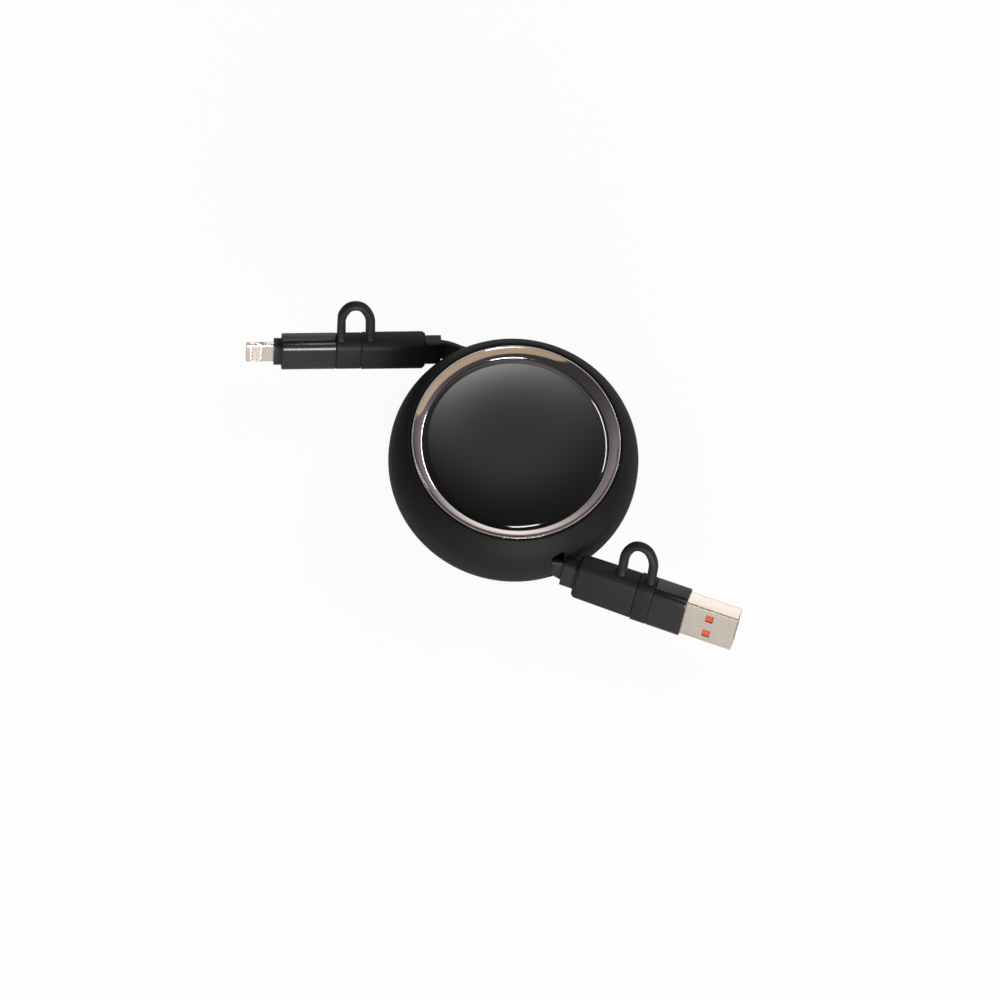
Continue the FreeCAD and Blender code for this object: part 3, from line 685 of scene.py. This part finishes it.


# %% [markdown]
# ## Sleeve, band and loop
#
# On the real object these three are one silicone moulding. The sleeve grips the plug, the band grips
# the adapter, and the loop ties them together. When the adapter is pulled off, sleeve and band keep
# their shape and only the loop stretches. So the sleeve rides with the plug, and the band with the
# adapter.
#
# The loop's feet spread into the surface they stand on. Each leg's radius grows towards its foot along
# an elliptical fillet, and the last rings are let down onto the rounded edge below them, so that no
# hard joint shows.

# %% Sleeves and bands
section_corner = 2.5 * mm
skin = 0.5 * mm
plug_width, plug_thickness, plug_corner = 9.4 * mm, 4.4 * mm, 1.45 * mm
tail_width, tail_thickness, tail_corner = 8.2 * mm, 3.6 * mm, 0.8 * mm
sleeve_round, shoulder_steps, groove_step = 1.1 * mm, 12, 7
throat_depth = 1.0 * mm
rim_round = 0.18 * mm
mouth_gap, lip_gap, lip_wall = 0.13 * mm, 0.02 * mm, 0.25 * mm
groove_depth, groove_edge = 0.13 * mm, 0.03 * mm


def sleeve_piece(name, end, rear, rear_width, width, thickness):
    """Closed skin: in through the throat round the tail, over the outside, back in at the mouth.

    A fine groove runs round the rear shoulder, in place of one of its stations. A thin lip at the mouth
    hides the bright plug behind the seam.
    """
    shoulder = rounded_end(rear, 1, sleeve_round, rear_width, thickness, section_corner, shoulder_steps)
    sides = ((shoulder[groove_step - 1], groove_edge), (shoulder[groove_step + 1], -groove_edge))
    shoulder[groove_step:groove_step + 1] = [
        [x + step, w - 2 * groove_depth, t - 2 * groove_depth, corner - groove_depth]
        for (x, w, t, corner), step in sides]
    end_at = adapter_start - mouth_gap
    mouth = rounded_end(end_at, -1, rim_round, width, thickness, section_corner)[::-1]
    throat = (tail_width, tail_thickness, tail_corner)
    inside = (plug_width, plug_thickness, plug_corner)
    stations = [(throat_depth, *throat), (rear, *throat)] + shoulder + mouth
    lip = (plug_width + 2 * lip_wall, plug_thickness + 2 * lip_wall, plug_corner + lip_wall)
    lip_at = adapter_start - lip_gap
    stations += [(end_at, *lip), (lip_at, *lip), (lip_at, *inside), (throat_depth, *inside)]
    return bar_piece(name, end, stations, silicone_black)


def ring_piece(name, end, start, stop, width, thickness, rounding, material, slot):
    """Short tube over the adapter's core, with rounded rims: the band, or the barrel."""
    core = (width - 2 * skin, thickness - 2 * skin, section_corner - skin)
    stations = [(start, *core)] + rounded_end(start, 1, rounding, width, thickness, section_corner)
    stations += rounded_end(stop, -1, rounding, width, thickness, section_corner)[::-1]
    stations += [(stop, *core)]
    return bar_piece(name, end, stations, material)


left_section, right_section = (10.8 * mm, 5.7 * mm), (14.0 * mm, 6.8 * mm)
left_sleeve_section, right_sleeve_section = (10.9 * mm, 5.9 * mm), (13.6 * mm, 6.5 * mm)
left_rear, left_rear_width = 0.0, 10.9 * mm
right_rear, right_rear_width = 0.4 * mm, 12.9 * mm
left_sleeve = sleeve_piece("left_sleeve", left_end, left_rear, left_rear_width, *left_sleeve_section)
right_sleeve = sleeve_piece("right_sleeve", right_end, right_rear, right_rear_width, *right_sleeve_section)
left_band_ring = ring_piece("left_band", left_end, adapter_start, adapter_start + left_band, *left_section,
                            rim_round, silicone_black, "silicone_black")
right_band_ring = ring_piece("right_band", right_end, adapter_start, adapter_start + right_band,
                             *right_section, rim_round, silicone_black, "silicone_black")
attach(left_sleeve, "left_plug")
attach(right_sleeve, "right_plug")
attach(left_band_ring, "eight_pin_adapter")
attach(right_band_ring, "type_a_adapter")
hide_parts("left_tether")
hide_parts("right_tether")
print("sleeves:", len(left_sleeve.data.polygons) + len(right_sleeve.data.polygons), "faces")

# %% Loops
loop_radius = 1.25 * mm
left_loop_height, right_loop_height = 11.9 * mm, 11.1 * mm
arch_height = 6.2 * mm
shoulder_angle = math.radians(35.0)
foot_spread = 0.55 * mm
foot_height = 1.7 * mm
foot_sink, foot_cut = 0.25 * mm, 0.02 * mm
left_legs, right_legs = (2.15 * mm, 5.2 * mm), (4.9 * mm, 2.7 * mm)
left_loop_lean, right_loop_lean = 2.0, -3.0
foot_rings, leg_rings, shoulder_rings, crown_rings, cord_points = 14, 10, 12, 16, 28
left_seat = (left_section[0] / 2, left_section[1])
right_seat = (right_sleeve_section[0] / 2, right_sleeve_section[1])


def loop_line(half, height):
    """Line of the loop in its own plane: up a leg, round a three-centred arch and down the other leg.

    The arch has two large shoulder arcs and a small crown arc that meet with one direction. Returns
    position across and up, and the direction of the line, from foot to foot.
    """
    spare = (arch_height - half) / (math.sin(shoulder_angle) + math.cos(shoulder_angle) - 1)
    side = half + spare * math.cos(shoulder_angle)
    crown_radius = side - spare
    spring = height - arch_height
    rise = np.concatenate([np.linspace(0.0, foot_height, foot_rings)[:-1],
                           np.linspace(foot_height, spring, leg_rings)[:-1]])
    leg = np.stack([np.full_like(rise, -half), rise], -1)
    a = np.linspace(0.0, shoulder_angle, shoulder_rings)[:-1]
    shoulder = np.stack([side - half - side * np.cos(a), spring + side * np.sin(a)], -1)
    c = np.linspace(shoulder_angle, np.pi / 2, crown_rings)
    middle = spring + spare * math.sin(shoulder_angle)
    crown_arc = np.stack([-crown_radius * np.cos(c), middle + crown_radius * np.sin(c)], -1)
    turn = np.concatenate([np.zeros(len(rise)), a, c])
    up_half = np.concatenate([leg, shoulder, crown_arc])
    down_half = up_half[-2::-1] * (-1, 1)
    line = np.concatenate([up_half, down_half])
    heading = np.concatenate([turn, np.pi - turn[-2::-1]])
    return line, heading


def loop_piece(name, end, legs, height, lean, band, seat):
    """Round cord along the loop's line.

    A ring's points lie at radius r across Y and across the line's own normal. Near a foot, r grows by
    spread (1 - sqrt(1 - u u)) with u from 0 to 1 at the foot, and the ring sinks by the drop of the
    rounded edge under it. The cord leans along X with its height, and its outer foot is cut level with
    the end of the band. Seat is the height and the thickness of what the feet stand on.
    """
    base, thickness = seat
    start, stop = sleeve_length - legs[0], adapter_start + legs[1]
    line, heading = loop_line((stop - start) / 2, height)
    u = np.clip(1 - line[:, 1] / foot_height, 0, 1)[:, None]
    radius = loop_radius + foot_spread * (1 - np.sqrt(1 - u * u))
    around = np.linspace(0, 2 * np.pi, cord_points, endpoint=False)
    y = radius * np.sin(around)
    off = radius * np.cos(around)
    x = line[:, :1] + off * np.cos(heading)[:, None] + (start + stop) / 2
    z = line[:, 1:] - off * np.sin(heading)[:, None]
    past_flat = np.clip(np.abs(y) - (thickness / 2 - section_corner), 0, section_corner)
    drop = section_corner - np.sqrt(section_corner ** 2 - past_flat ** 2)
    x, z = x + math.tan(math.radians(lean)) * z, base + z - (drop + foot_sink) * u
    x = np.minimum(x, adapter_start + band - foot_cut)
    grid = end.set(np.stack([x, y, z], -1))
    piece = dress(piece_from(grid_mesh(name, grid, wrap_columns=True)), silicone_black)
    return piece, start + loop_radius + foot_spread, stop - loop_radius - foot_spread


left_loop, left_from, left_to = loop_piece(
    "left_loop", left_end, left_legs, left_loop_height, left_loop_lean, left_band, left_seat)
right_loop, right_from, right_to = loop_piece(
    "right_loop", right_end, right_legs, right_loop_height, right_loop_lean, right_band, right_seat)
for loop, end, begin, finish_at, plug, adapter in (
        (left_loop, left_end, left_from, left_to, "left_plug", "eight_pin_adapter"),
        (right_loop, right_end, right_from, right_to, "right_plug", "type_a_adapter")):
    end.set(np.array((begin, 0, 0)))
    end.set(np.array((finish_at, 0, 0)))
    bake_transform(loop)
print("loops:", len(left_loop.data.polygons) + len(right_loop.data.polygons), "faces")

# %% [markdown]
# ## Barrels, plugs and contacts
#
# The barrels are drawn tube with broken edges, and they throw the long highlights that give each end
# its shape, so they are made as fresh surfaces. The flat plug is folded from sheet: a rounded wall
# with its windows left out of the grid, given its thickness afterwards. The other pieces keep their own
# solids. Rounded ones get a merged copy with smooth shading, and flat ones only a finish.

# %% Barrels
barrel_round, barrel_gap = 0.3 * mm, 0.05 * mm
left_barrel_start = adapter_start + left_band + barrel_gap
right_barrel_start = adapter_start + right_band + barrel_gap
left_barrel_tube = ring_piece("eight_pin_barrel", left_end, left_barrel_start,
                              adapter_start + left_band + left_barrel, *left_section, barrel_round,
                              anodised_black, "anodised_black")
right_barrel_tube = ring_piece("type_a_barrel", right_end, right_barrel_start,
                               adapter_start + right_band + right_barrel, *right_section, barrel_round,
                               anodised_black, "anodised_black")
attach(left_barrel_tube, "eight_pin_adapter")
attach(right_barrel_tube, "type_a_adapter")
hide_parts("eight_pin_tube")
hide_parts("type_a_tube")
print("barrels:", round(left_barrel / mm, 1), "and", round(right_barrel / mm, 1), "mm long")

# %% Flat plug
plug_root = 4.0 * mm
wall, edge_break, sheet_crease = 0.32 * mm, 0.07 * mm, 50.0
window_length, window_width, window_spread, window_from_end = 2.0 * mm, 2.5 * mm, 5.4 * mm, 7.1 * mm
flat_width, flat_thickness, flat_corner, bend_points = 12.0 * mm, 4.5 * mm, 0.6 * mm, 8


def folded_plug():
    """Wall of the flat plug: a rounded outline carried along X, without the cells of the windows.

    The outline is one half and the same half turned round. It has extra points where the windows begin
    and end, so that the grid's own lines are the windows' edges.
    """
    tip = adapter_start + right_band + right_barrel + flat_plug
    root = tip - flat_plug - plug_root
    window = tip - window_from_end
    x = np.array([root, window - window_length / 2, window + window_length / 2, tip])
    edges = np.array([-1, -1, 1, 1]) * window_spread / 2 + np.array([-1, 1, -1, 1]) * window_width / 2
    flat = flat_width / 2 - flat_corner
    face_z = np.concatenate([[-flat], edges, [flat]])
    quarter = np.linspace(0, np.pi / 2, bend_points)[1:-1]
    bend = np.stack([np.cos(quarter), np.sin(quarter)], -1) * flat_corner
    half_y = flat_thickness / 2
    narrow = half_y - flat_corner
    top = bend + (narrow, flat)
    half = np.concatenate([np.stack([np.full_like(face_z, half_y), face_z], -1), top,
                           [[narrow, flat + flat_corner], [-narrow, flat + flat_corner]],
                           top[::-1] * (-1, 1)])
    outline = np.concatenate([half, -half])
    count = len(outline)
    grid = np.concatenate([np.broadcast_to(x[:, None, None], (len(x), count, 1)),
                           np.broadcast_to(outline, (len(x), count, 2))], -1)
    keep = np.ones((len(x) - 1, count), bool)
    keep[1, [1, 3, len(half) + 1, len(half) + 3]] = False
    return grid_mesh("flat_plug_wall", right_end.set(grid), wrap_columns=True, keep=keep,
                     crease=sheet_crease)


flat_wall = piece_from(folded_plug())
thick = flat_wall.modifiers.new("sheet", "SOLIDIFY")
thick.thickness = wall
thick.offset = -1.0
edge = flat_wall.modifiers.new("broken_edge", "BEVEL")
edge.width = edge_break
edge.segments = 2
edge.limit_method = "ANGLE"
edge.angle_limit = math.radians(sheet_crease)
edge.harden_normals = True
dress(flat_wall, nickel)
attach(flat_wall, "type_a_adapter")
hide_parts("type_a_shell")
print("flat plug:", len(flat_wall.data.polygons), "cells of sheet")

# %% Small pieces
moulded = ("left_plug_body", "right_plug_body", "eight_pin_core", "type_a_core")
plated = ("left_plug_shell", "right_plug_shell", "eight_pin_tab", "eight_pin_socket_liner",
          "type_a_socket_liner")
for node in moulded:
    dress(smooth_copy(node), moulding_black)
for node in plated:
    dress(smooth_copy(node), nickel)
flat_pieces = {
    "left_plug_insert": moulding_black, "right_plug_insert": moulding_black,
    "eight_pin_socket_tongue": moulding_black, "type_a_socket_tongue": moulding_black,
    "eight_pin_contacts": gold, "type_a_contacts": gold,
    "eight_pin_contact_block": pale, "type_a_insert": orange}
for node, material in flat_pieces.items():
    dress(nodes[node], material)
print("small pieces:", len(moulded) + len(plated) + len(flat_pieces))

# %% [markdown]
# ## The flat leads
#
# Between the reel and each plug shows a short stretch of flat cable, standing on its edge. The right
# one goes straight from the pack to its plug. The left one bends gently. Both roll from upright to the
# plug's lean on the way. When a plug is pulled, the stretch beside its tail is drawn out, so that part
# has many rings. The tail is the short moulding that grips the cable. It shows between cable and
# sleeve, so it is made afresh too.

# %% Leads
cable_width, cable_thickness, cable_corner = 6.6 * mm, 1.5 * mm, 0.6 * mm
pack_gap = 0.25 * mm
pack_low, pack_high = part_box("cable_pack")
lead_offset = pack_high.x + pack_gap + cable_thickness / 2
lead_height = (pack_low.z + pack_high.z) / 2
reel_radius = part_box("top_shell")[1].x
outlet_reach = math.sqrt(reel_radius ** 2 - lead_offset ** 2)
tangent = np.array(joints["right_cable_pull"]["axis"], float)
bend_radius, bend_angle, bend_clear = 14.3 * mm, math.radians(19.0), 1.3 * mm
left_tail, right_tail = 4.0 * mm, 3.2 * mm
tail_inside, tail_clearance, tail_round = 0.9 * mm, 0.04 * mm, 0.2 * mm
drawn, right_roll = 3.0 * mm, 3.7 * mm


def lead_piece(name, along, start_heading, bend_from, roll_from, roll):
    """Flat section carried along a straight run that may go over into an arc.

    along holds the distances of the rings. Past bend_from the heading turns by (s - bend_from) / radius,
    so a lead that ends at bend_from is straight. The roll grows evenly from roll_from to the last ring.
    """
    forward = np.array((math.cos(start_heading), math.sin(start_heading)))
    inward = np.array((-forward[1], forward[0]))
    turn = np.clip(along - bend_from, 0, None) / bend_radius
    local = np.stack([np.minimum(along, bend_from) + bend_radius * np.sin(turn),
                      bend_radius * (1 - np.cos(turn))], -1)
    middle = local @ np.stack([forward, inward]) - inward * lead_offset
    lean = roll * np.clip((along - roll_from) / (along[-1] - roll_from), 0, 1)
    heading = start_heading + turn
    side = np.stack([-np.sin(heading), np.cos(heading)], -1)
    section = bar_grid([(0.0, cable_width, cable_thickness, cable_corner)])[0]
    y, z = section[:, 1], section[:, 2]
    out = y * np.cos(lean)[:, None] - z * np.sin(lean)[:, None]
    up = y * np.sin(lean)[:, None] + z * np.cos(lean)[:, None]
    points = np.concatenate([middle[:, None, :] + out[:, :, None] * side[:, None, :],
                             (lead_height + up)[:, :, None]], -1)
    return dress(piece_from(grid_mesh(name, capped(points), wrap_columns=True)), cable_black)


def tail_piece(name, end, length):
    """Moulded tail round the cable: in along the cable, over the rounded end and back under the sleeve."""
    bore = (cable_width, cable_thickness, cable_corner)
    section = (tail_width - tail_clearance, tail_thickness - tail_clearance, tail_corner)
    stations = [(tail_inside, *bore), (-length, *bore)] + rounded_end(-length, 1, tail_round, *section)
    return bar_piece(name, end, stations + [(tail_inside, *section)], moulding_black)


def lead_distances(total, few=24, many=80):
    """Few rings inside the reel, many over the stretch that is drawn out."""
    still = total - drawn
    return np.concatenate([np.linspace(0.0, still, few)[:-1], np.linspace(still, total, many)])


right_heading = math.atan2(tangent[1], tangent[0])
left_heading = math.radians(171.0)
right_tail_at = right_end.origin - right_end.axes[0] * right_tail
left_tail_at = left_end.origin - left_end.axes[0] * left_tail
right_total = float(right_tail_at @ tangent)
left_bend_from = outlet_reach + bend_clear
left_total = left_bend_from + bend_radius * bend_angle

right_lead = lead_piece("right_flat_lead", lead_distances(right_total), right_heading,
                        right_total, right_total - right_roll, math.radians(right_lean))
left_lead = lead_piece("left_flat_lead", lead_distances(left_total), left_heading,
                       left_bend_from, left_bend_from, math.radians(left_lean))
for lead, end, tail_at, plug, node in ((left_lead, left_end, left_tail_at, "left_plug", "left_lead"),
                                       (right_lead, right_end, right_tail_at, "right_plug", "right_lead")):
    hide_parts(node)
    tail_at - end.axes[0] * drawn
    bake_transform(lead)
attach(tail_piece("left_tail", left_end, left_tail), "left_plug")
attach(tail_piece("right_tail", right_end, right_tail), "right_plug")
print("leads: right", round(right_total / mm, 1), "mm, left", round(left_total / mm, 1), "mm")

# %% [markdown]
# ## Floor and light
#
# The object stands on a plain pale sheet. Black products are lit by what they reflect, so the room
# does most of the work. It is dim overhead and bright at the back, with one soft window at the back left
# whose lower edge is straight, and a warm card in front that shows in the ring. The other bright parts
# are smooth spots round a direction. Two lamps add the thin lines on disc and ring, and a low one in
# front draws the streak along the left barrel.

# %% Floor
floor_size, floor_points, floor_drop = 2.0, 9, 0.02 * mm
camera_share, glossy_share = 0.94, 0.27
spread = np.linspace(-floor_size, floor_size, floor_points)
floor_x, floor_y = np.meshgrid(spread, spread, indexing="ij")
floor_mesh = grid_mesh("floor", np.stack([floor_x, floor_y, np.full_like(floor_x, -floor_drop)], -1))
floor = piece_from(floor_mesh)
paper = Finish("paper", roughness=0.9)
paper.feed("Base Color", paper.between(paper.noise(0.3, 2.0), grey(0.62), grey(0.65)))
seen = (paper.node("ShaderNodeLightPath", out="Is Camera Ray")
        + glossy_share * paper.node("ShaderNodeLightPath", out="Is Glossy Ray"))
glow = paper.node("ShaderNodeEmission", None, {"Color": (1.0, 1.0, 1.0, 1.0), "Strength": 1.0})
sheet = paper.node("ShaderNodeMixShader", None, {
    0: camera_share * seen, 1: Wire(paper, paper.shader.outputs["BSDF"]), 2: glow})
paper.plug(paper.output.inputs["Surface"], sheet)
dress(floor, paper.material)
print("floor:", 2 * floor_size, "m across")


# %% Room
def direction(azimuth, elevation):
    """Unit vector of an azimuth, from +X towards +Y, and an elevation, both in degrees."""
    a, e = math.radians(azimuth), math.radians(elevation)
    return math.cos(e) * math.cos(a), math.cos(e) * math.sin(a), math.sin(e)


class Room(Finish):
    """World with the same arithmetic as a finish."""

    def __init__(self, name):
        self.world = bpy.data.worlds.new(name)
        self.world.use_nodes = True
        self.tree = self.world.node_tree
        self.tree.nodes.clear()
        self.output = self.tree.nodes.new("ShaderNodeOutputWorld")

    def facing(self, towards):
        """Cosine of the angle between the direction that is looked in and another one."""
        return self.node("ShaderNodeVectorMath", {"operation": "DOT_PRODUCT"},
                         {0: self.place("Generated"), 1: towards}, out="Value")

    def scaled(self, colour, level):
        return self.node("ShaderNodeVectorMath", {"operation": "SCALE"}, {0: colour, "Scale": level})

    def sum(self, first, second):
        return self.node("ShaderNodeVectorMath", {"operation": "ADD"}, {0: first, 1: second})

    def spot(self, towards, width, colour):
        """Soft spot: colour times exp(k (d . s - 1)), with k = 1 / width squared, in radians."""
        power = (self.facing(towards) - 1.0) * (1.0 / math.radians(width) ** 2)
        return self.scaled(colour, self.node("ShaderNodeMath", {"operation": "EXPONENT"}, {0: power}))

    def step(self, value, edge=0.02):
        """Smooth step from 0 to 1 as value passes zero."""
        return self.node("ShaderNodeMapRange", {"interpolation_type": "SMOOTHSTEP"},
                         {"Value": value, "From Min": -edge, "From Max": edge})

    def card(self, towards, within, shade, beyond, colour):
        """Even card: the sky within an angle of one direction and beyond an angle from another."""
        near = self.step(self.facing(towards) - math.cos(math.radians(within)))
        clear = self.step(math.cos(math.radians(beyond)) - self.facing(shade))
        return self.scaled(colour, near * clear)


room = Room("studio")
window_foot, foot_blur = math.radians(46.0), 0.05
above_edge = room.step(room.facing((0.0, 0.0, 1.0)) - math.sin(window_foot), foot_blur)
window = room.scaled(room.spot(direction(103, 45), 10.6, (4.4, 4.35, 4.3)), above_edge)
horizon = room.spot(direction(97, 3), 16.0, (1.4, 1.32, 1.32))
back_wall = room.spot(direction(85, 27), 15.0, (1.32, 1.27, 1.19))
right_wall = room.spot(direction(35, 30), 25.0, (0.26, 0.245, 0.25))
left_wall = room.spot(direction(152, 14), 22.0, (0.36, 0.33, 0.34))
warm_card = room.card(direction(-53, 0), 69.0, direction(115, 56), 73.0, (0.8, 0.65, 0.42))
bright_parts = (window, horizon, back_wall, right_wall, left_wall, warm_card)
light = (0.08, 0.079, 0.082)
for part in bright_parts:
    light = room.sum(light, part)
lit = room.node("ShaderNodeBackground", None, {"Color": light, "Strength": 1.0})
white = room.node("ShaderNodeBackground", None, {"Color": (1.0, 1.0, 1.0, 1.0), "Strength": 1.0})
camera_ray = room.node("ShaderNodeLightPath", out="Is Camera Ray")
room.plug(room.output.inputs["Surface"],
          room.node("ShaderNodeMixShader", None, {0: camera_ray, 1: lit, 2: white}))
bpy.context.scene.world = room.world
print("room:", len(bright_parts), "bright parts")


# %% Lamps
def soft_lamp(name, azimuth, elevation, distance, size, watts, roll=0.0):
    """Area lamp that looks at the reel, rolled about its own beam.

    Size is its width and height in degrees, as the reel sees it.
    """
    lamp = bpy.data.lights.new(name, "AREA")
    lamp.shape = "RECTANGLE"
    lamp.size, lamp.size_y = (2 * distance * math.tan(math.radians(angle) / 2) for angle in size)
    lamp.energy = watts
    place = Vector(direction(azimuth, elevation)) * distance
    thing = bpy.data.objects.new(name, lamp)
    look = place.to_track_quat("Z", "Y").to_matrix().to_4x4()
    thing.matrix_world = Matrix.Translation(place) @ look @ Matrix.Rotation(math.radians(roll), 4, "Z")
    bpy.context.scene.collection.objects.link(thing)
    return thing


lamps = [soft_lamp("lamp_right", 42.0, 36.5, 2.5, (34.0, 5.0), 21.0, roll=-26.0),
         soft_lamp("lamp_over", -60.5, 72.0, 2.5, (13.0, 7.0), 11.0),
         soft_lamp("lamp_low", -72.0, 9.6, 1.5, (32.0, 18.0), 39.0)]
bpy.context.scene.view_settings.view_transform = "Standard"
print("lamps:", len(lamps))
